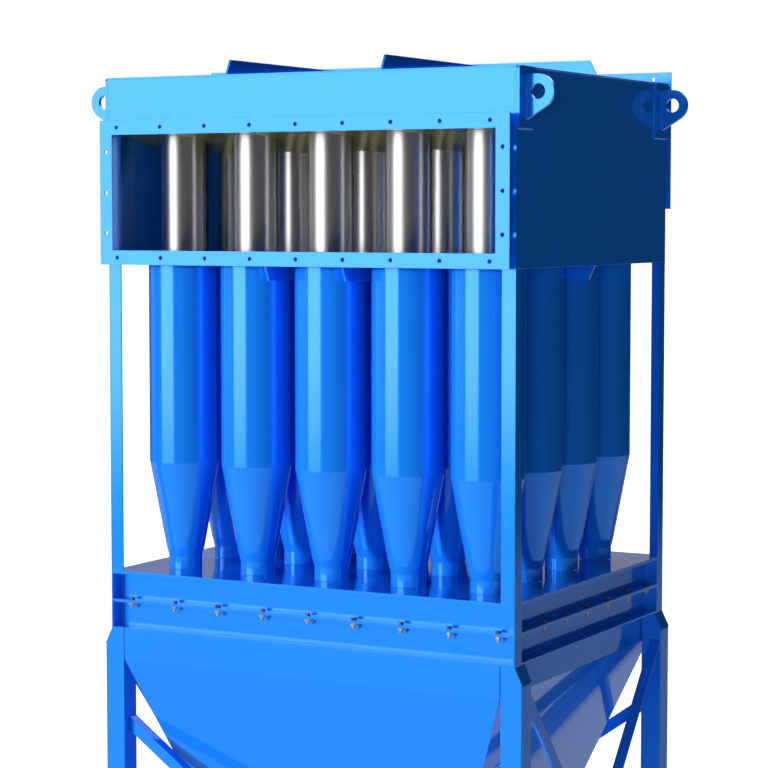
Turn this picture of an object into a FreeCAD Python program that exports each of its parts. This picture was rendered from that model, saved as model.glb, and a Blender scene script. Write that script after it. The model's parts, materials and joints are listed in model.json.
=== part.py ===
"""Multi-cyclone dust separator: five by four cyclones between an upper gas housing
and a pyramid dust hopper, on four legs with cross bracing.

Frame: millimetres, +Z up, origin on the floor at the middle of the unit.  The gas inlet
faces -Y and the clean gas outlet faces +Y.  Every driving size is a cell of the sheet.
"""
import FreeCAD, Part
import os
import Sketcher

Vector, Rotation, Placement = FreeCAD.Vector, FreeCAD.Rotation, FreeCAD.Placement
AXIS_X, AXIS_Y, AXIS_Z = Vector(1, 0, 0), Vector(0, 1, 0), Vector(0, 0, 1)

DIMENSIONS = {
    # whole unit
    "unit_width": 1580, "unit_depth": 1280, "roof_height": 4350, "housing_height": 650,
    "wall_sheet": 5, "floor_sheet": 6,
    # gas inlet and outlet: rolled angle frames, one leg is the duct and one is the flange
    "duct_inset": 50, "duct_opening_height": 400, "duct_length": 50, "frame_sheet": 5,
    "flange_bar": 50, "inlet_drop": 200, "flange_hole": 14, "flange_pitch": 180,
    "flange_side_pitch": 140, "sheet_rise": 20,
    # cyclones and exhaust tubes
    "cyclone_pitch": 300, "body_diameter": 250, "body_sheet": 4, "barrel_length": 700,
    "cone_length": 310, "throat_length": 30, "throat_swell": 8, "neck_diameter": 118,
    "tube_diameter": 159, "tube_sheet": 3, "tube_dip": 250, "tube_stand": 25,
    # corner posts, dust plate and the two bolted collars
    "post_width": 50, "post_sheet": 5, "dust_plate_height": 2616, "dust_plate_sheet": 6,
    "collar_height": 100, "collar_flange": 50, "collar_sheet": 5,
    # dust hopper
    "skirt_height": 110, "skirt_gap": 3, "hopper_sheet": 4, "hopper_outlet": 200, "outlet_height": 660,
    "outlet_flange_width": 300, "outlet_flange_sheet": 8, "outlet_hole": 14,
    "outlet_hole_pitch": 125,
    # legs
    "leg_width": 75, "leg_wall": 4, "leg_overhang": 25, "cap_sheet": 5, "cap_drop": 57,
    "cap_lip": 3, "foot_width": 150, "foot_sheet": 12, "foot_hole": 18, "foot_hole_pitch": 112,
    # bracing angles
    "brace_width": 40, "brace_sheet": 4, "front_brace_top": 2088, "front_brace_bottom": 1034,
    "side_brace_top": 2312, "side_brace_bottom": 996,
    # stiffening ribs
    "rib_height": 50, "rib_sheet": 8, "rib_nose": 25, "roof_rib_spread": 600,
    # lifting lugs
    "lug_pad_width": 120, "lug_pad_height": 200, "lug_pad_sheet": 10, "lug_pad_corner": 12,
    "lug_inset": 60, "lug_sheet": 14, "lug_reach": 40, "lug_drop": 82, "lug_radius": 56,
    "lug_hole": 50, "lug_foot": 172,
}
COLUMNS = 5
ROWS = 4
FLANGE_HOLES, FLANGE_SIDE_HOLES, OUTLET_HOLES = 9, 3, 3

doc = FreeCAD.newDocument("CycloneSeparator")
sheet = doc.addObject("Spreadsheet::Sheet", "dims")
for line, (alias, value) in enumerate(DIMENSIONS.items(), start=1):
    sheet.set(f"A{line}", alias)
    sheet.set(f"B{line}", str(value))
    sheet.setAlias(f"B{line}", alias)
doc.recompute()

nodes = []


def cell(text):
    """Names of cells in a formula, written plainly, become references to the sheet."""
    words = sorted(DIMENSIONS, key=len, reverse=True)
    for number, word in enumerate(words):
        text = text.replace(word, f"<{number}>")
    for number, word in enumerate(words):
        text = text.replace(f"<{number}>", f"dims.{word}")
    return text


def bind(item, **formulas):
    """Tie properties of an object to formulas of sheet cells."""
    for name, formula in formulas.items():
        item.setExpression(name, cell(formula))
    return item


def value(formula):
    """Number that a formula of sheet cells gives now."""
    return float(sheet.evalExpression(cell(formula)))


def place(item, spot=("0", "0", "0"), axis=AXIS_Z, turn="0"):
    """Put an object at a bound spot, turned by a bound angle in degrees about an axis."""
    item.Placement = Placement(Vector(), Rotation(axis, 1))
    for direction, formula in zip("xyz", spot):
        item.setExpression(f"Placement.Base.{direction}", cell(formula))
    item.setExpression("Placement.Rotation.Angle", cell(turn))
    return item


def node(item, name):
    """Mark an object as a finished sub-part with its own name."""
    item.Label = name
    nodes.append(item)
    return item


def box(x_span, y_span, z_span):
    """Block between two formulas along each axis."""
    block = doc.addObject("Part::Box", "block")
    spans = (x_span, y_span, z_span)
    for side, (low, high) in zip(("Length", "Width", "Height"), spans):
        bind(block, **{side: f"({high}) - ({low})"})
    return place(block, [low for low, high in spans])


def centred(width):
    """Span of a width centred on zero."""
    return f"-({width}) / 2", f"({width}) / 2"


def outward(side, inner, outer):
    """Span between two distances from the middle, on the plus or the minus side."""
    return (inner, outer) if side > 0 else (f"-({outer})", f"-({inner})")


def rod(diameter, spot, length, axis=AXIS_Z, turn="0"):
    """Round bar from a spot, along Z or turned about an axis."""
    bar = bind(doc.addObject("Part::Cylinder", "rod"), Radius=f"({diameter}) / 2", Height=length)
    return place(bar, spot, axis, turn)


def fuse(parts):
    joined = doc.addObject("Part::MultiFuse", "fused")
    joined.Shapes = parts
    return joined


def cut(base, *tools):
    carved = doc.addObject("Part::Cut", "carved")
    carved.Base = base
    carved.Tool = tools[0] if len(tools) == 1 else fuse(list(tools))
    return carved


def common(first, second):
    shared = doc.addObject("Part::Common", "shared")
    shared.Base, shared.Tool = first, second
    return shared


def gather(parts):
    """Several solids that do not touch, kept as one compound."""
    group = doc.addObject("Part::Compound", "group")
    group.Links = parts
    return group


def prism(low_x, high_x, low_z, high_z, length):
    """Wedge between two rectangles: each span is given at the start and at the end along Y."""
    wedge = doc.addObject("Part::Wedge", "wedge")
    bind(wedge, Ymin="0", Ymax=length)
    bind(wedge, Xmin=low_x[0], X2min=low_x[1], Xmax=high_x[0], X2max=high_x[1])
    bind(wedge, Zmin=low_z[0], Z2min=low_z[1], Zmax=high_z[0], Z2max=high_z[1])
    return wedge


# ---- places that several pieces share ----
OUT_X, OUT_Y = "unit_width / 2", "unit_depth / 2"
IN_X, IN_Y = f"({OUT_X} - wall_sheet)", f"({OUT_Y} - wall_sheet)"
ROOF, ROOF_UNDER = "roof_height", "(roof_height - wall_sheet)"
HOUSING_BOTTOM = "(roof_height - housing_height)"
INLET_TOP = "(roof_height - inlet_drop)"
INLET_BOTTOM = f"({INLET_TOP} - duct_opening_height)"
OUTLET_TOP = ROOF_UNDER
OUTLET_BOTTOM = f"({OUTLET_TOP} - duct_opening_height)"
DUCT_X = f"({OUT_X} - duct_inset)"
SHEET_FRONT = f"({INLET_TOP} + sheet_rise)"
SHEET_DROP = f"({SHEET_FRONT} - {OUTLET_BOTTOM} + wall_sheet)"
COLLAR_TOP = "(dust_plate_height - dust_plate_sheet)"
COLLAR_JOINT = f"({COLLAR_TOP} - collar_height)"
COLLAR_BOTTOM = f"({COLLAR_JOINT} - collar_height)"
WEB_X, WEB_Y = f"({OUT_X} - collar_flange)", f"({OUT_Y} - collar_flange)"
FOLD = f"({COLLAR_BOTTOM} - skirt_height)"
SKIRT_X = f"({WEB_X} - skirt_gap)"
LEG_IN_X, LEG_OUT_X = WEB_X, f"({OUT_X} + leg_overhang)"
LEG_IN_Y = f"({OUT_Y} - leg_width)"
CORNERS = {"front_left": (-1, -1), "front_right": (1, -1),
           "rear_left": (-1, 1), "rear_right": (1, 1)}


def steps(count, pitch):
    """Formulas of evenly spaced positions centred on zero."""
    return [f"({number - (count - 1) / 2}) * {pitch}" for number in range(count)]


def row_y(row):
    return steps(ROWS, "cyclone_pitch")[row]


def per_cyclone(make):
    """One tool for each cyclone position."""
    return [make(x, y) for y in steps(ROWS, "cyclone_pitch")
            for x in steps(COLUMNS, "cyclone_pitch")]


# ---- gas housing ----
def side_walls():
    for side, name in ((-1, "housing_left_wall"), (1, "housing_right_wall")):
        wall = box(outward(side, IN_X, OUT_X), centred("unit_depth"), (HOUSING_BOTTOM, ROOF_UNDER))
        node(wall, name)


def end_wall(side, low, high, name):
    """Front or rear wall with its duct opening cut through."""
    wall = box(centred(f"2 * {IN_X}"), outward(side, IN_Y, OUT_Y), (HOUSING_BOTTOM, ROOF_UNDER))
    opening = box(centred(f"2 * {DUCT_X}"), outward(side, f"{IN_Y} - 1", f"{OUT_Y} + 1"), (low, high))
    node(cut(wall, opening), name)


def roof():
    node(box(centred("unit_width"), centred("unit_depth"), (ROOF_UNDER, ROOF)), "roof_plate")


def cyclone_top_plate():
    plate = box(centred(f"2 * {IN_X}"), centred(f"2 * {IN_Y}"),
                (HOUSING_BOTTOM, f"{HOUSING_BOTTOM} + floor_sheet"))
    bores = per_cyclone(lambda x, y: rod("body_diameter - 2 * body_sheet",
                                         (x, y, f"{HOUSING_BOTTOM} - 1"), "floor_sheet + 2"))
    node(cut(plate, *bores), "cyclone_top_plate")


def upper_tube_sheet():
    """Sloping plate that parts dirty gas below from clean gas above; it carries the tubes."""
    slope = prism((f"-{IN_X}",) * 2, (IN_X,) * 2, ("0", f"-{SHEET_DROP}"),
                  ("wall_sheet", f"wall_sheet - {SHEET_DROP}"), f"2 * {IN_Y}")
    place(slope, ("0", f"-{IN_Y}", SHEET_FRONT))
    bores = per_cyclone(lambda x, y: rod("tube_diameter", (x, y, HOUSING_BOTTOM), "housing_height"))
    node(cut(slope, *bores), "upper_tube_sheet")


def duct_flange(side, low, high, name):
    """Welded angle frame: one leg makes the short duct, the drilled leg makes the flange."""
    face, tip = f"({OUT_Y} + duct_length - frame_sheet)", f"({OUT_Y} + duct_length)"
    neck = box(centred(f"2 * ({DUCT_X} + frame_sheet)"), outward(side, OUT_Y, tip),
               (f"{low} - frame_sheet", f"{high} + frame_sheet"))
    ring = box(centred(f"2 * ({DUCT_X} + flange_bar)"), outward(side, face, tip),
               (f"{low} - flange_bar", f"{high} + flange_bar"))
    passage = box(centred(f"2 * {DUCT_X}"), outward(side, f"{OUT_Y} - 1", f"{tip} + 1"), (low, high))
    row_heights = (f"{low} - flange_bar / 2", f"{high} + flange_bar / 2")
    column_x = (f"-({DUCT_X} + flange_bar / 2)", f"{DUCT_X} + flange_bar / 2")
    spots = [(x, height) for x in steps(FLANGE_HOLES, "flange_pitch") for height in row_heights]
    spots += [(x, f"({low} + {high}) / 2 + {rise}") for x in column_x
              for rise in steps(FLANGE_SIDE_HOLES, "flange_side_pitch")]
    start = outward(side, f"{face} - 1", f"{tip} + 1")[1]
    holes = [rod("flange_hole", (x, start, height), "frame_sheet + 2", AXIS_X, "90")
             for x, height in spots]
    node(cut(fuse([neck, ring]), passage, *holes), name)


# ---- stiffening ribs, chamfered at their free ends ----
def rib(length, spot, flip, turn):
    """Flat bar on edge, with sloping noses at both ends."""
    half = f"({length}) / 2"
    bar = prism((f"-{half}", f"rib_nose - {half}"), (half, f"{half} - rib_nose"),
                ("-rib_sheet / 2",) * 2, ("rib_sheet / 2",) * 2, "rib_height")
    upright = gather([place(bar, axis=AXIS_X, turn=flip)])
    return place(upright, spot, AXIS_Z, turn)


def ribs(spread, height, flip):
    """One rib along X and two along Y, welded where they cross."""
    cross = rib("unit_width", ("0", "0", height), flip, "0")
    long_ribs = [rib("unit_depth", (x, "0", height), flip, "90")
                 for x in centred(spread)]
    return fuse([cross] + long_ribs)


def floor_ribs():
    """Ribs under the housing floor, between the barrels and cut back where a barrel is in the way."""
    barrels = per_cyclone(lambda x, y: rod("body_diameter", (x, y, f"{HOUSING_BOTTOM} - barrel_length"),
                                           "barrel_length"))
    node(cut(ribs("cyclone_pitch", HOUSING_BOTTOM, "-90"), *barrels), "floor_ribs")


# ---- lifting lugs ----
def lug_pad(side, end):
    """Doubling plate on a side wall, with its upper outer corner rounded."""
    edge = outward(end, f"{OUT_Y} - lug_pad_width", OUT_Y)
    span = outward(side, OUT_X, f"{OUT_X} + lug_pad_sheet")
    plate = box(span, edge, ("roof_height - lug_pad_height", ROOF))
    round_y = f"{end} * ({OUT_Y} - lug_pad_corner)"
    notch = box((f"{span[0]} - 1", f"{span[1]} + 1"),
                outward(end, f"{OUT_Y} - lug_pad_corner", f"{OUT_Y} + 1"),
                ("roof_height - lug_pad_corner", f"{ROOF} + 1"))
    corner = rod("2 * lug_pad_corner", (f"{span[0]} - 2", round_y, "roof_height - lug_pad_corner"),
                 "lug_pad_sheet + 4", AXIS_Y, "90")
    return cut(plate, cut(notch, corner))


def lug_pads():
    node(gather([lug_pad(side, end) for side, end in CORNERS.values()]), "lug_pads")


def sketch_on(body, role, name):
    """Empty sketch on one of a body's own origin planes."""
    sketch = body.newObject("Sketcher::SketchObject", name)
    plane = next(item for item in body.Origin.OriginFeatures if item.Role == role)
    sketch.AttachmentSupport = [(plane, "")]
    sketch.MapMode = "FlatFace"
    return sketch


def constrain(sketch, kind, where, formula):
    """Dimension of a sketch, bound to a formula of sheet cells."""
    number = sketch.addConstraint(Sketcher.Constraint(kind, *where, value(formula)))
    sketch.setExpression(f"Constraints[{number}]", cell(formula))


def lug_outline(sketch):
    """Drop shape: straight top, round nose about the eye, and a slanting lower edge."""
    reach, drop, radius = value("lug_reach"), value("lug_drop"), value("lug_radius")
    eye, top = Vector(reach, -drop, 0), Vector(reach, radius - drop, 0)
    root_top, root_low = Vector(0, radius - drop, 0), Vector(0, -value("lug_foot"), 0)
    nose_low = Vector(reach + 0.6 * radius, -drop - 0.8 * radius, 0)
    sketch.addGeometry([
        Part.LineSegment(root_top, top),
        Part.Arc(nose_low, eye + Vector(radius, 0, 0), top),
        Part.LineSegment(nose_low, root_low),
        Part.LineSegment(root_low, root_top),
        Part.Circle(eye, AXIS_Z, value("lug_hole / 2"))])
    begin, end, centre = 1, 2, 3
    rules = [("Tangent", 0, end, 1, end), ("Tangent", 1, begin, 2, begin),
             ("Coincident", 2, end, 3, begin), ("Coincident", 3, end, 0, begin),
             ("Horizontal", 0), ("PointOnObject", 3, begin, -2), ("PointOnObject", 3, end, -2),
             ("Coincident", 4, centre, 1, centre)]
    for rule in rules:
        sketch.addConstraint(Sketcher.Constraint(*rule))
    constrain(sketch, "DistanceX", (-1, 1, 1, centre), "lug_reach")
    constrain(sketch, "DistanceY", (1, centre, -1, 1), "lug_drop")
    constrain(sketch, "DistanceY", (3, begin, -1, 1), "lug_foot")
    constrain(sketch, "Radius", (1,), "lug_radius")
    constrain(sketch, "Diameter", (4,), "lug_hole")


def lifting_lug(name, side, end):
    body = doc.addObject("PartDesign::Body", "lug")
    sketch = sketch_on(body, "XZ_Plane", "lug_outline")
    lug_outline(sketch)
    plate = body.newObject("PartDesign::Pad", "lug_plate")
    plate.Profile = sketch
    plate.Midplane = True
    bind(plate, Length="lug_sheet")
    root_x = f"{side} * ({OUT_X} + lug_pad_sheet)"
    place(body, (root_x, f"{end} * ({OUT_Y} - lug_inset)", ROOF), turn="0" if side > 0 else "180")
    node(body, f"lifting_lug_{name}")


# ---- cyclones and exhaust tubes ----
def spun_row(name, row, outline):
    """Row of hollow round pieces: a wall section turned about Z, then repeated along X."""
    body = doc.addObject("PartDesign::Body", name)
    body.AllowCompound = True
    sketch = sketch_on(body, "XZ_Plane", "wall_section")
    corners = [Vector(value(radius), value(height), 0) for radius, height in outline]
    count = len(corners)
    sketch.addGeometry([Part.LineSegment(corners[at], corners[(at + 1) % count]) for at in range(count)])
    for at, (radius, height) in enumerate(outline):
        sketch.addConstraint(Sketcher.Constraint("Coincident", at, 2, (at + 1) % count, 1))
        constrain(sketch, "DistanceX", (-1, 1, at, 1), radius)
        constrain(sketch, "DistanceY", (-1, 1, at, 1), height)
    shell = body.newObject("PartDesign::Revolution", "shell")
    shell.Profile = sketch
    shell.ReferenceAxis = (sketch, ["V_Axis"])
    shell.Angle = 360
    pattern = body.newObject("PartDesign::LinearPattern", "columns")
    pattern.Originals = [shell]
    pattern.Direction = (sketch, ["H_Axis"])
    pattern.Occurrences = COLUMNS
    bind(pattern, Length=f"cyclone_pitch * {COLUMNS - 1}")
    body.Tip = pattern
    place(body, (steps(COLUMNS, "cyclone_pitch")[0], row_y(row), "0"))
    node(body, name)


def cyclones(row):
    """Barrel, cone, and a short throat that eases into the straight neck on the dust plate."""
    cone_top = f"({HOUSING_BOTTOM} - barrel_length)"
    cone_end, throat_end = f"({cone_top} - cone_length)", f"({cone_top} - cone_length - throat_length)"
    barrel, neck = "body_diameter / 2", "neck_diameter / 2"
    outer = [(barrel, HOUSING_BOTTOM), (barrel, cone_top), (f"{neck} + throat_swell", cone_end),
             (neck, throat_end), (neck, "dust_plate_height")]
    inner = [(f"{radius} - body_sheet", height) for radius, height in reversed(outer)]
    spun_row(f"cyclones_row_{row + 1}", row, outer + inner)


def exhaust_tubes(row):
    """Tubes from inside the cyclones up through the sloping sheet."""
    fall = f"({row_y(row)} + {IN_Y}) / (2 * {IN_Y}) * {SHEET_DROP}"
    top = f"{SHEET_FRONT} - {fall} + wall_sheet + tube_stand"
    bottom, outer = f"{HOUSING_BOTTOM} - tube_dip", "tube_diameter / 2"
    inner = f"{outer} - tube_sheet"
    spun_row(f"exhaust_tubes_row_{row + 1}", row,
             [(outer, top), (outer, bottom), (inner, bottom), (inner, top)])


# ---- corner posts, dust plate and bolted collars ----
def post_leg(side, end, low):
    """Leg of a corner angle that lies in the side plane."""
    return box(outward(side, f"{OUT_X} - post_sheet", OUT_X),
               outward(end, f"{OUT_Y} - post_width", OUT_Y), (low, HOUSING_BOTTOM))


def corner_post(side, end):
    """Angle post: one leg stops on the dust plate, the other runs down over the collars."""
    short_leg = box(outward(side, f"{OUT_X} - post_width", OUT_X),
                    outward(end, f"{OUT_Y} - post_sheet", OUT_Y), ("dust_plate_height", HOUSING_BOTTOM))
    return fuse([short_leg, post_leg(side, end, COLLAR_BOTTOM)])


def corner_posts(end, name):
    node(gather([corner_post(side, end) for side in (-1, 1)]), name)


def post_notches():
    return [post_leg(side, end, f"{COLLAR_BOTTOM} - 1") for side, end in CORNERS.values()]


def dust_plate():
    plate = box(centred("unit_width"), centred("unit_depth"), (COLLAR_TOP, "dust_plate_height"))
    bores = per_cyclone(lambda x, y: rod("neck_diameter - 2 * body_sheet",
                                         (x, y, f"{COLLAR_TOP} - 1"), "dust_plate_sheet + 2"))
    node(cut(plate, *bores, *post_notches()), "dust_plate")


def collar(name, low, high):
    """Frame of channels with their flanges outward, notched for the corner posts.

    The front and rear channels run the whole width; the side ones are welded between them.
    """
    frame = box(centred("unit_width"), centred("unit_depth"), (low, high))
    inside = box(centred(f"2 * ({WEB_X} - collar_sheet)"), centred(f"2 * ({WEB_Y} - collar_sheet)"),
                 (f"{low} - 1", f"{high} + 1"))
    between = (f"{low} + collar_sheet", f"{high} - collar_sheet")
    band = box(centred("unit_width + 2"), centred("unit_depth + 2"), between)
    web = box(centred(f"2 * {WEB_X}"), centred(f"2 * {WEB_Y}"), between)
    ends = [box(centred("unit_width"), outward(end, f"{WEB_Y} - collar_sheet", WEB_Y), between)
            for end in (-1, 1)]
    node(cut(frame, inside, cut(band, web, *ends), *post_notches()), name)


# ---- dust hopper ----
def pyramid(inset):
    """Solid funnel under a straight skirt, all sides drawn in by an inset."""
    half_x, half_y = f"({SKIRT_X} - {inset})", f"({OUT_Y} - {inset})"
    mouth = f"(hopper_outlet / 2 - {inset})"
    skirt = box(centred(f"2 * {half_x}"), centred(f"2 * {half_y}"), (FOLD, COLLAR_BOTTOM))
    funnel = prism((f"-{half_x}", f"-{mouth}"), (half_x, mouth), (f"-{half_y}", f"-{mouth}"),
                   (half_y, mouth), f"{FOLD} - outlet_height")
    place(funnel, ("0", "0", FOLD), AXIS_X, "-90")
    return fuse([skirt, funnel])


def hopper():
    """Four folded plates, mitred along the edges of the funnel."""
    tall = ("outlet_height - 1",) * 2, (f"{COLLAR_BOTTOM} + 1",) * 2
    mouth = "hopper_outlet / 2"
    quarters = {"front": (SKIRT_X, OUT_Y, "0"), "right": (OUT_Y, SKIRT_X, "90"),
                "rear": (SKIRT_X, OUT_Y, "180"), "left": (OUT_Y, SKIRT_X, "270")}
    for name, (half, depth, turn) in quarters.items():
        sector = prism((f"-{half}", f"-{mouth}"), (half, mouth), tall[0], tall[1], f"{depth} - {mouth}")
        turned = gather([place(sector, ("0", f"-{depth}", "0"))])
        place(turned, turn=turn)
        node(common(cut(pyramid("0"), pyramid("hopper_sheet")), turned), f"hopper_{name}_wall")


def outlet_flange():
    low, high = "outlet_height - outlet_flange_sheet", "outlet_height"
    ring = box(centred("outlet_flange_width"), centred("outlet_flange_width"), (low, high))
    mouth = centred("hopper_outlet - 2 * hopper_sheet")
    passage = box(mouth, mouth, (f"{low} - 1", f"{high} + 1"))
    grid = steps(OUTLET_HOLES, "outlet_hole_pitch")
    holes = [rod("outlet_hole", (x, y, f"{low} - 1"), "outlet_flange_sheet + 2")
             for x in grid for y in grid if (x, y) != (grid[1], grid[1])]
    node(cut(ring, passage, *holes), "hopper_outlet_flange")


# ---- legs ----
CAP_TURN = "-atan((leg_overhang + cap_lip) / cap_drop)"
CAP_LENGTH = "sqrt((leg_overhang + cap_lip) ^ 2 + cap_drop ^ 2)"


def sloped(x_span, y_span, z_span):
    """Block drawn from the upper edge of a leg's sloping cap, turned to lie along it."""
    block = gather([box(x_span, y_span, z_span)])
    return place(block, (OUT_X, "0", COLLAR_BOTTOM), AXIS_Y, CAP_TURN)


def leg(name, side, end):
    """Square tube whose outer top corner is cut back under a sloping cap."""
    centre_y = f"{end} * ({OUT_Y} - leg_width / 2)"
    turn = "0" if side > 0 else "180"
    tube = box((LEG_IN_X, LEG_OUT_X), centred("leg_width"), ("foot_sheet", COLLAR_BOTTOM))
    bore = box((f"{LEG_IN_X} + leg_wall", f"{LEG_OUT_X} - leg_wall"), centred("leg_width - 2 * leg_wall"),
               ("0", f"{COLLAR_BOTTOM} + 1"))
    beyond = sloped(("-cap_sheet", "leg_width"), centred("2 * leg_width"), ("-2 * cap_drop", "cap_drop"))
    node(place(cut(tube, bore, beyond), ("0", centre_y, "0"), turn=turn), f"leg_{name}")


def leg_caps():
    caps = []
    for side, end in CORNERS.values():
        cap = sloped(("-cap_sheet", "0"), centred("leg_width"), (f"-{CAP_LENGTH}", "0"))
        centre_y = f"{end} * ({OUT_Y} - leg_width / 2)"
        caps.append(place(gather([cap]), ("0", centre_y, "0"), turn="0" if side > 0 else "180"))
    node(gather(caps), "leg_caps")


def foot_plate(side, end):
    centre = f"{side} * ({LEG_IN_X} + {LEG_OUT_X}) / 2", f"{end} * ({OUT_Y} - leg_width / 2)"
    plate = box(centred("foot_width"), centred("foot_width"), ("0", "foot_sheet"))
    reach = centred("foot_hole_pitch")
    holes = [rod("foot_hole", (x, y, "-1"), "foot_sheet + 2") for x in reach for y in reach]
    return place(cut(plate, *holes), (*centre, "0"))


def foot_plates():
    node(gather([foot_plate(side, end) for side, end in CORNERS.values()]), "foot_plates")


# ---- cross bracing ----
def brace_angle(run, top, bottom):
    """Angle bar falling from left to right, its outstanding leg along the upper edge."""
    reach = f"(sqrt(({run}) ^ 2 + ({top} - {bottom}) ^ 2) + 4 * brace_width)"
    upright = box(centred(reach), ("0", "brace_sheet"), ("-brace_width", "0"))
    flange = box(centred(reach), ("0", "brace_width"), ("-brace_sheet", "0"))
    bar = gather([fuse([upright, flange])])
    return place(bar, ("0", "0", f"({top} + {bottom}) / 2"), AXIS_Y, f"atan(({top} - {bottom}) / ({run}))")


def brace_cross(name, half_run, distance, top, bottom, turn):
    """Two angles back to back, welded where they cross and ending on the legs."""
    run = f"2 * {half_run}"
    falling = brace_angle(run, top, bottom)
    rising = place(gather([brace_angle(run, top, bottom)]), ("0", "brace_width", "0"), turn="180")
    beyond = "4 * leg_width"
    limits = box(centred(run), ("-1", "brace_width + 1"), (f"{bottom} - {beyond}", f"{top} + {beyond}"))
    pair = place(common(fuse([falling, rising]), limits), ("0", f"-({distance})", "0"))
    node(place(gather([pair]), turn=turn), name)


def bracing():
    across = (LEG_IN_X, f"{LEG_IN_Y} + brace_width", "front_brace_top", "front_brace_bottom")
    along = (LEG_IN_Y, LEG_OUT_X, "side_brace_top", "side_brace_bottom")
    brace_cross("front_brace", *across, "0")
    brace_cross("right_brace", *along, "90")
    brace_cross("rear_brace", *across, "180")
    brace_cross("left_brace", *along, "270")


# ---- the whole unit ----
def build():
    side_walls()
    end_wall(-1, INLET_BOTTOM, INLET_TOP, "housing_front_wall")
    end_wall(1, OUTLET_BOTTOM, OUTLET_TOP, "housing_rear_wall")
    roof()
    cyclone_top_plate()
    upper_tube_sheet()
    duct_flange(-1, INLET_BOTTOM, INLET_TOP, "inlet_flange")
    duct_flange(1, OUTLET_BOTTOM, OUTLET_TOP, "outlet_flange")
    node(ribs("roof_rib_spread", ROOF, "90"), "roof_ribs")
    floor_ribs()
    lug_pads()
    for row in range(ROWS):
        cyclones(row)
        exhaust_tubes(row)
    dust_plate()
    collar("upper_collar", COLLAR_JOINT, COLLAR_TOP)
    collar("lower_collar", COLLAR_BOTTOM, COLLAR_JOINT)
    hopper()
    outlet_flange()
    for name, (side, end) in CORNERS.items():
        lifting_lug(name, side, end)
        leg(name, side, end)
    corner_posts(-1, "corner_posts_front")
    corner_posts(1, "corner_posts_rear")
    leg_caps()
    foot_plates()
    bracing()


def check():
    """Stop if any object failed or any sub-part has no sound shape."""
    for item in doc.Objects:
        if {"Invalid", "Error"} & set(item.State):
            raise RuntimeError(f"{item.Label} failed: {item.State}")
    for item in nodes:
        if item.Shape.isNull() or not item.Shape.isValid() or not item.Shape.Solids:
            raise RuntimeError(f"{item.Label} has no valid solid")


build()
doc.recompute()
check()
os.makedirs("parts", exist_ok=True)
for item in nodes:
    item.Shape.exportStep(f"parts/{item.Label}.step")
    print(f"{item.Label}: {len(item.Shape.Solids)} solid(s), {item.Shape.Volume / 1e6:.2f} litres")
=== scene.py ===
"""Looks of a blue cyclone separator: painted sheet steel, stainless tubes, bolts and welds."""

import json
import math
import random

import bmesh
import bpy
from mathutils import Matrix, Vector


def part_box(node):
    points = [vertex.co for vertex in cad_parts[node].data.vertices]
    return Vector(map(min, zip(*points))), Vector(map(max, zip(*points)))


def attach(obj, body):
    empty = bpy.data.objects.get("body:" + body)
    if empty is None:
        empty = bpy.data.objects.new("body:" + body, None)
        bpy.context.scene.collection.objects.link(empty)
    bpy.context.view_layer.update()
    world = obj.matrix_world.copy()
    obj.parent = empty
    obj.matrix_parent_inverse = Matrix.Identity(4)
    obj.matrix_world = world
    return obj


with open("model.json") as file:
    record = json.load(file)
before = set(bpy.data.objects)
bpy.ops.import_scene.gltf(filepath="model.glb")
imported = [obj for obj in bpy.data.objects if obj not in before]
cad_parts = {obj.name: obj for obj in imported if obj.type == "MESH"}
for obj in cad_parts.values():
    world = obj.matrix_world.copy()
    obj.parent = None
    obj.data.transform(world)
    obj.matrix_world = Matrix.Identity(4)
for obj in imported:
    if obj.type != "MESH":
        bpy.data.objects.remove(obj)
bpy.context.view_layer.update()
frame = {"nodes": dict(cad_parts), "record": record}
nodes = frame["nodes"]


# ---------------------------------------------------------------- node helpers

def new_tree(name):
    """A fresh material and its empty node tree."""
    material = bpy.data.materials.new(name)
    material.use_nodes = True
    tree = material.node_tree
    tree.nodes.clear()
    return material, tree


def add(tree, kind, inputs=None, **settings):
    """A node of the tree with its settings and its plain input values."""
    made = tree.nodes.new(kind)
    for key, setting in settings.items():
        setattr(made, key, setting)
    for key, number in (inputs or {}).items():
        made.inputs[key].default_value = number
    return made


def math_node(tree, operation, first, second=None):
    """The output of a Math node; each operand is a socket or a number."""
    made = add(tree, "ShaderNodeMath", operation=operation)
    for slot, operand in enumerate((first, second)):
        if operand is None:
            continue
        if isinstance(operand, (int, float)):
            made.inputs[slot].default_value = operand
        else:
            tree.links.new(operand, made.inputs[slot])
    return made.outputs[0]


def noise(tree, coordinate, scale, detail=3.0, roughness=0.5):
    made = add(tree, "ShaderNodeTexNoise", {"Scale": scale, "Detail": detail, "Roughness": roughness})
    tree.links.new(coordinate, made.inputs["Vector"])
    return made.outputs["Fac"]


def ranged(tree, value, low, high):
    """A 0 to 1 value mapped to low..high."""
    made = add(tree, "ShaderNodeMapRange", {"To Min": low, "To Max": high})
    tree.links.new(value, made.inputs["Value"])
    return made.outputs["Result"]


def between(tree, factor, first, second):
    """A colour mixed from two plain colours."""
    made = add(tree, "ShaderNodeMix", data_type="RGBA")
    tree.links.new(factor, made.inputs[0])
    made.inputs[6].default_value = (*first, 1)
    made.inputs[7].default_value = (*second, 1)
    return made.outputs[2]


def bumps(tree, height, strength, distance, edge=0.0):
    """A bumped normal, on top of edges that are rounded by a radius."""
    made = add(tree, "ShaderNodeBump", {"Strength": strength, "Distance": distance})
    tree.links.new(height, made.inputs["Height"])
    if edge:
        rounded = add(tree, "ShaderNodeBevel", {"Radius": edge}, samples=4)
        tree.links.new(rounded.outputs[0], made.inputs["Normal"])
    return made.outputs["Normal"]


# ------------------------------------------------------------------- materials

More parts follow.
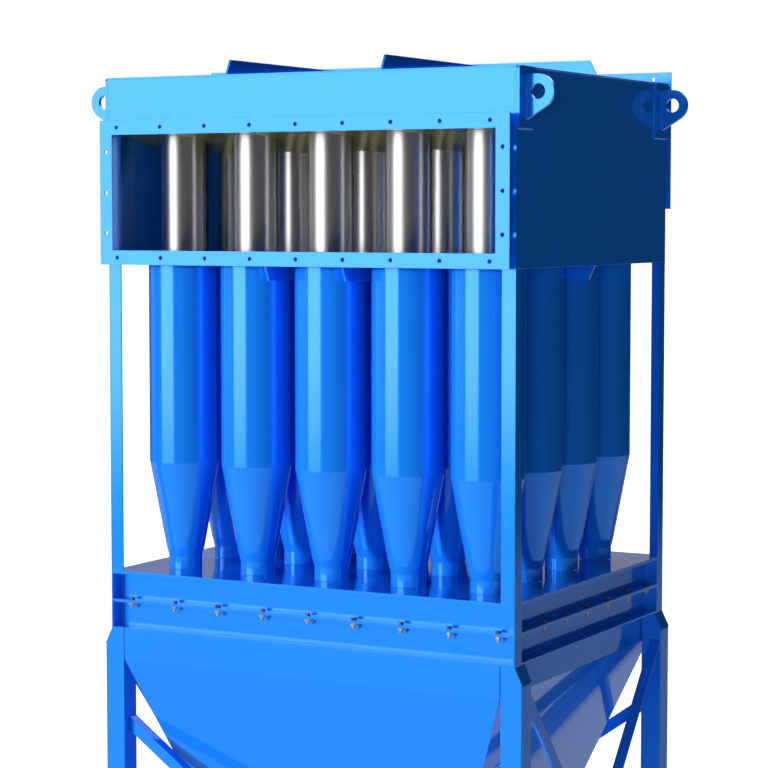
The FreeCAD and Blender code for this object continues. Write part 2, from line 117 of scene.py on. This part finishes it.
def blue_paint():
    """Two-layer gloss enamel: a slightly metallic blue coat under clear lacquer, with faint orange peel."""
    material, tree = new_tree("blue_paint")
    place = add(tree, "ShaderNodeTexCoord").outputs["Object"]
    shader = add(tree, "ShaderNodeBsdfPrincipled", {
        "Metallic": PAINT_METALLIC, "Specular IOR Level": 0.0,
        "Coat Weight": 1.0, "Coat Roughness": 0.03, "Coat IOR": LACQUER_IOR})
    cloud = noise(tree, place, 1.7, 4.0)
    colour = between(tree, cloud, PAINT_DEEP, PAINT_LIGHT)
    tree.links.new(colour, shader.inputs["Base Color"])
    tree.links.new(ranged(tree, noise(tree, place, 6.0), 0.12, 0.20), shader.inputs["Roughness"])
    peel = noise(tree, place, 260.0, 1.0)
    normal = bumps(tree, peel, 0.05, 0.00012, PAINT_EDGE)
    tree.links.new(normal, shader.inputs["Normal"])
    tree.links.new(normal, shader.inputs["Coat Normal"])
    out = add(tree, "ShaderNodeOutputMaterial")
    tree.links.new(shader.outputs[0], out.inputs[0])
    return material


def stainless():
    """Bright-drawn stainless tube: polished, with fine draw lines along the tube."""
    material, tree = new_tree("stainless_tube")
    place = add(tree, "ShaderNodeTexCoord").outputs["Object"]
    stretch = add(tree, "ShaderNodeMapping", {"Scale": (1.0, 1.0, 0.02)})
    tree.links.new(place, stretch.inputs["Vector"])
    lines = noise(tree, stretch.outputs[0], 420.0, 2.0)
    shader = add(tree, "ShaderNodeBsdfPrincipled", {"Metallic": 1.0})
    colour = between(tree, lines, (0.70, 0.70, 0.71), (0.74, 0.74, 0.74))
    tree.links.new(colour, shader.inputs["Base Color"])
    tree.links.new(ranged(tree, lines, 0.32, 0.34), shader.inputs["Roughness"])
    rounded = add(tree, "ShaderNodeBevel", {"Radius": 0.0006}, samples=4)
    tree.links.new(rounded.outputs[0], shader.inputs["Normal"])
    out = add(tree, "ShaderNodeOutputMaterial")
    tree.links.new(shader.outputs[0], out.inputs[0])
    return material


def passivated():
    """Yellow passivated zinc on the tube sheet: a dull olive metal with soft cloudy patches."""
    material, tree = new_tree("passivated_zinc")
    place = add(tree, "ShaderNodeTexCoord").outputs["Object"]
    cloud = noise(tree, place, 9.0, 5.0, 0.6)
    shader = add(tree, "ShaderNodeBsdfPrincipled", {"Metallic": 0.6})
    tree.links.new(between(tree, cloud, (0.56, 0.50, 0.08), (0.70, 0.64, 0.13)), shader.inputs["Base Color"])
    tree.links.new(ranged(tree, cloud, 0.16, 0.30), shader.inputs["Roughness"])
    tree.links.new(bumps(tree, noise(tree, place, 120.0), 0.1, 0.0002), shader.inputs["Normal"])
    out = add(tree, "ShaderNodeOutputMaterial")
    tree.links.new(shader.outputs[0], out.inputs[0])
    return material


def zinc_bolts(name, dark, light):
    """Zinc on the fasteners: a little uneven and dulled by handling; a darker copy of it is painted shade on
    the bolt heads.
    """
    material, tree = new_tree(name)
    place = add(tree, "ShaderNodeTexCoord").outputs["Object"]
    cloud = noise(tree, place, 240.0, 3.0, 0.6)
    shader = add(tree, "ShaderNodeBsdfPrincipled", {"Metallic": 0.7})
    tree.links.new(between(tree, cloud, dark, light), shader.inputs["Base Color"])
    tree.links.new(ranged(tree, cloud, 0.22, 0.40), shader.inputs["Roughness"])
    tree.links.new(bumps(tree, cloud, 0.2, 0.0002, 0.0004), shader.inputs["Normal"])
    out = add(tree, "ShaderNodeOutputMaterial")
    tree.links.new(shader.outputs[0], out.inputs[0])
    return material


LACQUER_IOR = 1.47
PAINT_METALLIC = 0.42
PAINT_EDGE = 0.0015
PAINT_DEEP = (0.009, 0.235, 0.96)
PAINT_LIGHT = (0.010, 0.245, 1.0)
MATERIALS = {"blue_paint": blue_paint(), "stainless_tube": stainless(), "passivated_zinc": passivated()}
BOLT_ZINC = zinc_bolts("zinc_bolts", (0.52, 0.45, 0.34), (0.74, 0.67, 0.54))
# The bolt heads get a darker copy of the same zinc: painted shade, standing in for the dark reflections on
# the sides of the heads.
HEAD_ZINC_PAINTED_DARK = zinc_bolts("zinc_heads_painted_dark", (0.10, 0.10, 0.11), (0.18, 0.18, 0.19))


def paint_nodes():
    """Every CAD node takes the finish of its material slot in the record."""
    for part in frame["record"]["subparts"]:
        mesh = nodes[part["node"]].data
        mesh.materials.clear()
        mesh.materials.append(MATERIALS[part["material_slot"]])


paint_nodes()


# --------------------------------------------------------------- small details

def finish_piece(name, shape, material):
    """Turn a bmesh into an object that rides on the unit's one body."""
    bmesh.ops.recalc_face_normals(shape, faces=shape.faces)
    mesh = bpy.data.meshes.new(name)
    shape.to_mesh(mesh)
    shape.free()
    mesh.materials.append(material)
    made = bpy.data.objects.new(name, mesh)
    bpy.context.scene.collection.objects.link(made)
    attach(made, "root")
    return made


def turned(shape, centre, profile, sides, start=0.0):
    """A closed solid of rings about a vertical line: the profile lists (radius, height above centre)."""
    rings = []
    for radius, rise in profile:
        angles = [start + 2 * math.pi * step / sides for step in range(sides)]
        rings.append([shape.verts.new(centre + Vector((radius * math.cos(a), radius * math.sin(a), rise)))
                      for a in angles])
    for lower, upper in zip(rings, rings[1:]):
        for step in range(sides):
            after = (step + 1) % sides
            shape.faces.new((lower[step], lower[after], upper[after], upper[step]))
    shape.faces.new(rings[0][::-1])
    shape.faces.new(rings[-1])


def bolt(heads, shape, place, grip, turn):
    """Hexagon bolt down through a joint at a place: head above, washer, nut and thread below."""
    top, under = place + Vector((0, 0, grip / 2)), place - Vector((0, 0, grip / 2))
    corner = HEX_WIDTH / math.sqrt(3)
    washer = [(WASHER_RADIUS, 0.0), (WASHER_RADIUS, WASHER_SHEET)]
    turned(shape, under - Vector((0, 0, WASHER_SHEET)), washer, 24)
    head = [(corner, 0.0), (corner, 0.85 * HEAD_HEIGHT), (0.86 * corner, HEAD_HEIGHT)]
    turned(heads, top, head, 6, turn)
    nut = [(0.86 * corner, -NUT_HEIGHT), (corner, -0.88 * NUT_HEIGHT), (corner, -0.12 * NUT_HEIGHT),
           (0.88 * corner, 0.0)]
    turned(shape, under - Vector((0, 0, WASHER_SHEET)), nut, 6, turn + 0.4)
    thread_end = under - Vector((0, 0, WASHER_SHEET + NUT_HEIGHT))
    threads = [(0.7 * THREAD_RADIUS, -THREAD_END)]
    for ridge in range(int(THREAD_END / THREAD_PITCH)):
        low = -THREAD_END + 0.001 + ridge * THREAD_PITCH
        threads += [(0.88 * THREAD_RADIUS, low), (THREAD_RADIUS, low + THREAD_PITCH / 2)]
    threads.append((0.88 * THREAD_RADIUS, 0.0005))
    turned(shape, thread_end, threads, 16)


def collar_bolts():
    """A row of bolts on each side of the joint between the two collars."""
    low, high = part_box("upper_collar")
    joint = low[2]
    heads, shape = bmesh.new(), bmesh.new()
    chance = random.Random(4)
    rows = [(count, axis, side) for axis, count in enumerate(BOLTS_ALONG) for side in (-1, 1)]
    for count, axis, side in rows:
        across = 1 - axis
        for step in range(count):
            place = Vector((0, 0, joint))
            place[axis] = (step - (count - 1) / 2) * BOLT_PITCH
            place[across] = side * (high[across] - BOLT_INSET)
            bolt(heads, shape, place, 2 * COLLAR_SHEET, chance.uniform(0, math.pi / 3))
    # The heads wear the darker copy of the zinc, which is painted shade.
    finish_piece("collar_bolt_heads", heads, HEAD_ZINC_PAINTED_DARK)
    finish_piece("collar_bolt_nuts", shape, BOLT_ZINC)


def bead(shape, route, outs, up, size, closed=False):
    """A fillet weld along a route: outs point away from one plate, up away from the other."""
    rings = []
    for number, (point, out) in enumerate(zip(route, outs)):
        reach = size * (1.0 if number % 2 else 0.86)
        section = [(-0.3, -0.3), (reach / size, -0.3), (0.62 * reach / size, 0.62 * reach / size),
                   (-0.3, reach / size)]
        rings.append([shape.verts.new(point + out * size * a + up * size * b) for a, b in section])
    pairs = list(zip(rings, rings[1:]))
    if closed:
        pairs.append((rings[-1], rings[0]))
    for first, second in pairs:
        for step in range(4):
            after = (step + 1) % 4
            shape.faces.new((first[step], first[after], second[after], second[step]))
    if not closed:
        shape.faces.new(rings[0][::-1])
        shape.faces.new(rings[-1])


def straight_bead(shape, start, end, out, up, size):
    """A straight fillet weld between two points."""
    start, end = Vector(start), Vector(end)
    count = max(2, round((end - start).length / RIPPLE))
    route = [start.lerp(end, step / count) for step in range(count + 1)]
    bead(shape, route, [Vector(out)] * (count + 1), Vector(up), size)


def ring_bead(shape, centre, radius, rise, size):
    """A fillet weld round a tube where it meets a plate, on the side that rise points to."""
    count = 2 * round(math.pi * radius / RIPPLE)
    outs = [Vector((math.cos(2 * math.pi * step / count), math.sin(2 * math.pi * step / count), 0))
            for step in range(count)]
    bead(shape, [centre + out * radius for out in outs], outs, Vector((0, 0, rise)), size, True)


def cyclone_welds():
    """Ring welds where each barrel meets the housing floor and each neck meets the dust plate."""
    shape = bmesh.new()
    floor_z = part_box("cyclone_top_plate")[0][2]
    plate_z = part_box("dust_plate")[1][2]
    for row in range(1, ROWS + 1):
        low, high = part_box(f"cyclones_row_{row}")
        y = (low[1] + high[1]) / 2
        barrel = (high[1] - low[1]) / 2
        pitch = (high[0] - low[0] - 2 * barrel) / (COLUMNS - 1)
        for column in range(COLUMNS):
            x = low[0] + barrel + column * pitch
            ring_bead(shape, Vector((x, y, floor_z)), barrel, -1, THIN_WELD)
            ring_bead(shape, Vector((x, y, plate_z)), NECK_RADIUS, 1, NECK_WELD)
    finish_piece("cyclone_welds", shape, MATERIALS["blue_paint"])


def lug_welds():
    """Fillets down both faces of each lug and round the free edges of its pad."""
    shape = bmesh.new()
    wall_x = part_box("housing_right_wall")[1][0]
    for name in ("front_left", "front_right", "rear_left", "rear_right"):
        low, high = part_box(f"lifting_lug_{name}")
        side = 1 if high[0] > 0 else -1
        end = 1 if high[1] > 0 else -1
        pad_low, pad_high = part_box("lug_pads")
        root = side * pad_high[0]
        for face in (low[1], high[1]):
            away = 1 if face > (low[1] + high[1]) / 2 else -1
            straight_bead(shape, (root, face, low[2] + WELD_STOP), (root, face, high[2] - WELD_STOP),
                          (side, 0, 0), (0, away, 0), WELD)
        inner_y = end * (pad_high[1] - PAD_WIDTH)
        outer_y = end * (pad_high[1] - WELD_STOP)
        corner = (side * wall_x, inner_y, pad_low[2])
        straight_bead(shape, corner, (side * wall_x, inner_y, pad_high[2] - WELD),
                      (side, 0, 0), (0, -end, 0), THIN_WELD)
        straight_bead(shape, corner, (side * wall_x, outer_y, pad_low[2]),
                      (side, 0, 0), (0, 0, -1), THIN_WELD)
    finish_piece("lug_welds", shape, MATERIALS["blue_paint"])


def rib_welds():
    """Short stitch welds on alternate sides along the roof ribs."""
    shape = bmesh.new()
    low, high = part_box("roof_ribs")
    base = low[2]
    lines = [(0, 0.0, high[0])] + [(1, x, high[1]) for x in (-RIB_SPREAD, RIB_SPREAD)]
    for axis, offset, reach in lines:
        steps = int(2 * (reach - RIB_NOSE) / STITCH_PITCH)
        for step in range(steps + 1):
            side = 1 if step % 2 else -1
            middle = (step - steps / 2) * STITCH_PITCH
            start, end = Vector((0, 0, base)), Vector((0, 0, base))
            start[axis], end[axis] = middle - STITCH / 2, middle + STITCH / 2
            start[1 - axis] = end[1 - axis] = offset + side * RIB_SHEET / 2
            out = Vector((0, 0, 0))
            out[1 - axis] = side
            straight_bead(shape, start, end, out, (0, 0, 1), THIN_WELD)
    finish_piece("rib_welds", shape, MATERIALS["blue_paint"])


def leg_welds():
    """Fillets round the foot of each leg."""
    shape = bmesh.new()
    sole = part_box("foot_plates")[1][2]
    for name in ("front_left", "front_right", "rear_left", "rear_right"):
        low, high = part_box(f"leg_{name}")
        for side in (low[0], high[0]):
            away = 1 if side == high[0] else -1
            straight_bead(shape, (side, low[1], sole), (side, high[1], sole), (away, 0, 0), (0, 0, 1), WELD)
        for side in (low[1], high[1]):
            away = 1 if side == high[1] else -1
            straight_bead(shape, (low[0], side, sole), (high[0], side, sole), (0, away, 0), (0, 0, 1), WELD)
    finish_piece("leg_welds", shape, MATERIALS["blue_paint"])


HEX_WIDTH, HEAD_HEIGHT, NUT_HEIGHT = 0.018, 0.0062, 0.0105
WASHER_RADIUS, WASHER_SHEET = 0.012, 0.0022
THREAD_RADIUS, THREAD_PITCH, THREAD_END = 0.006, 0.00175, 0.0095
BOLTS_ALONG, BOLT_PITCH, BOLT_INSET, COLLAR_SHEET = (9, 7), 0.180, 0.025, 0.005
ROWS, COLUMNS = 4, 5
NECK_RADIUS, PAD_WIDTH = 0.059, 0.120
RIB_SPREAD, RIB_SHEET, RIB_NOSE = 0.300, 0.008, 0.05
WELD, THIN_WELD, NECK_WELD = 0.006, 0.005, 0.002
WELD_STOP, RIPPLE, STITCH, STITCH_PITCH = 0.004, 0.004, 0.040, 0.120

collar_bolts()
cyclone_welds()
lug_welds()
rib_welds()
leg_welds()


# ---------------------------------------------------------------------- studio

def gate(tree, value, at, width):
    """0 below a value and 1 above it, with a soft edge of that width."""
    made = add(tree, "ShaderNodeMapRange", {"From Min": at - width / 2, "From Max": at + width / 2},
               interpolation_type="SMOOTHSTEP")
    tree.links.new(value, made.inputs["Value"])
    return made.outputs["Result"]


def window(tree, value, low, high, edge):
    """1 between two values, with soft edges."""
    rise = gate(tree, value, low, edge)
    fall = math_node(tree, "SUBTRACT", 1.0, gate(tree, value, high, edge))
    return math_node(tree, "MULTIPLY", rise, fall)


def studio_light():
    """The room: a dim surround with soft boxes and a pale ground, placed by azimuth and elevation."""
    world = bpy.data.worlds.new("studio")
    bpy.context.scene.world = world
    world.use_nodes = True
    tree = world.node_tree
    tree.nodes.clear()
    direction = add(tree, "ShaderNodeTexCoord").outputs["Generated"]
    split = add(tree, "ShaderNodeSeparateXYZ")
    tree.links.new(direction, split.inputs[0])
    x, y, z = split.outputs
    forward = math_node(tree, "MULTIPLY", y, -1.0)
    azimuth = math_node(tree, "MULTIPLY", math_node(tree, "ARCTAN2", x, forward), 180 / math.pi)
    elevation = math_node(tree, "MULTIPLY", math_node(tree, "ARCSINE", z), 180 / math.pi)
    total = None
    for across, along, radiance in SOFTBOXES:
        mask = window(tree, elevation, *along)
        if across:
            mask = math_node(tree, "MULTIPLY", mask, window(tree, azimuth, *across))
        patch = math_node(tree, "MULTIPLY", mask, radiance)
        total = patch if total is None else math_node(tree, "ADD", total, patch)
    total = math_node(tree, "ADD", total, SURROUND)
    shader = add(tree, "ShaderNodeBackground")
    tree.links.new(total, shader.inputs["Strength"])
    out = add(tree, "ShaderNodeOutputWorld")
    tree.links.new(shader.outputs[0], out.inputs[0])


def sun(name, azimuth, elevation, spread, energy):
    """A sun that lights the paint but isn't seen in the gloss, placed by azimuth and elevation."""
    lamp = bpy.data.lights.new(name, "SUN")
    lamp.energy = energy
    lamp.angle = math.radians(spread)
    holder = bpy.data.objects.new(name, lamp)
    bpy.context.scene.collection.objects.link(holder)
    azimuth, elevation = math.radians(azimuth), math.radians(elevation)
    towards = Vector((math.sin(azimuth) * math.cos(elevation),
                      -math.cos(azimuth) * math.cos(elevation), math.sin(elevation)))
    holder.rotation_euler = towards.to_track_quat("Z", "Y").to_euler()
    holder.visible_glossy = False


def disc(name, radius, height, material):
    """A flat disc of the studio, at a height."""
    mesh = bpy.data.meshes.new(name)
    shape = bmesh.new()
    bmesh.ops.create_circle(shape, cap_ends=True, segments=96, radius=radius)
    bmesh.ops.translate(shape, verts=shape.verts, vec=(0, 0, height))
    shape.to_mesh(mesh)
    shape.free()
    mesh.materials.append(material)
    made = bpy.data.objects.new(name, mesh)
    bpy.context.scene.collection.objects.link(made)
    return made


def pale_floor():
    """A matt white floor, lifted so that it stays pale wherever no shadow falls."""
    material, tree = new_tree("floor_white")
    matt = add(tree, "ShaderNodeBsdfDiffuse", {"Color": (0.93, 0.93, 0.93, 1)})
    lift = add(tree, "ShaderNodeEmission", {"Strength": FLOOR_LIFT})
    both = add(tree, "ShaderNodeAddShader")
    tree.links.new(matt.outputs[0], both.inputs[0])
    tree.links.new(lift.outputs[0], both.inputs[1])
    out = add(tree, "ShaderNodeOutputMaterial")
    tree.links.new(both.outputs[0], out.inputs[0])
    return material


def glow(name, strength):
    """A plain glowing white."""
    material, tree = new_tree(name)
    shader = add(tree, "ShaderNodeEmission", {"Strength": strength})
    out = add(tree, "ShaderNodeOutputMaterial")
    tree.links.new(shader.outputs[0], out.inputs[0])
    return material


def backdrop(radius):
    """A pale dome far behind everything."""
    mesh = bpy.data.meshes.new("backdrop")
    shape = bmesh.new()
    bmesh.ops.create_uvsphere(shape, u_segments=48, v_segments=24, radius=radius)
    shape.to_mesh(mesh)
    shape.free()
    mesh.materials.append(glow("backdrop_glow", 1.0))
    made = bpy.data.objects.new("backdrop", mesh)
    bpy.context.scene.collection.objects.link(made)
    made.visible_diffuse = False
    made.visible_glossy = False
    made.visible_transmission = False
    made.visible_shadow = False


def floor(radius):
    """A pale floor under the object; what the gloss shows of the ground comes from the room."""
    seen = disc("floor", radius, 0.0, pale_floor())
    seen.visible_diffuse = False
    seen.visible_glossy = False
    seen.visible_shadow = False


def camera():
    """A long lens from the front right, a little under the roof."""
    lens = bpy.data.cameras.new("camera")
    lens.sensor_width = 36.0
    lens.lens = CAMERA_LENS
    lens.clip_end = 1000
    holder = bpy.data.objects.new("camera", lens)
    bpy.context.scene.collection.objects.link(holder)
    holder.location = CAMERA_PLACE
    holder.rotation_euler = (math.radians(90 - CAMERA_DIP), 0, math.radians(CAMERA_TURN))
    bpy.context.scene.camera = holder


# Azimuth is 0 at the front and grows towards +X, elevation is 0 at the horizon; both in degrees.
# Each soft box: (azimuth from, to, edge) or None for all round, (elevation from, to, edge), radiance.
SOFTBOXES = [
    ((-48, -4, 5), (-5.5, 32, 5), 3.7),
    ((-105, -55, 25), (-5.5, 32, 5), 0.32),
    ((150, 190, 10), (22, 50, 10), 3.0),
    ((-190, -110, 10), (22, 50, 10), 3.0),
    ((-175, -130, 10), (3, 22, 8), 0.38),
    ((30, 120, 30), (4, 45, 10), 0.04),
    (None, (-100, -8, 3), 0.32),
    ((-140, 90, 15), (-100, -8, 3), 0.12),
    ((90, 200, 20), (-75, -17, 10), 0.24),
    ((-200, -140, 20), (-75, -17, 10), 0.30),
    ((90, 200, 20), (-100, -45, 10), 0.28),
    ((-200, -140, 20), (-100, -45, 10), 0.22),
]
SURROUND = 0.006
# Each sun: azimuth, elevation, spread, energy.
KEY_LIGHT = (-22, 4, 6, 3.4)
FILL_LIGHT = (20, 2, 12, 0.7)
FLOOR_RADIUS = 180.0
FLOOR_LIFT = 0.76
CAMERA_PLACE, CAMERA_LENS = (4.0519, -7.5529, 3.8766), 111.65
CAMERA_DIP, CAMERA_TURN = 4.085, 28.43

studio_light()
sun("key", *KEY_LIGHT)
sun("fill", *FILL_LIGHT)
floor(FLOOR_RADIUS)
backdrop(FLOOR_RADIUS)
camera()
bpy.context.scene.view_settings.view_transform = "Standard"
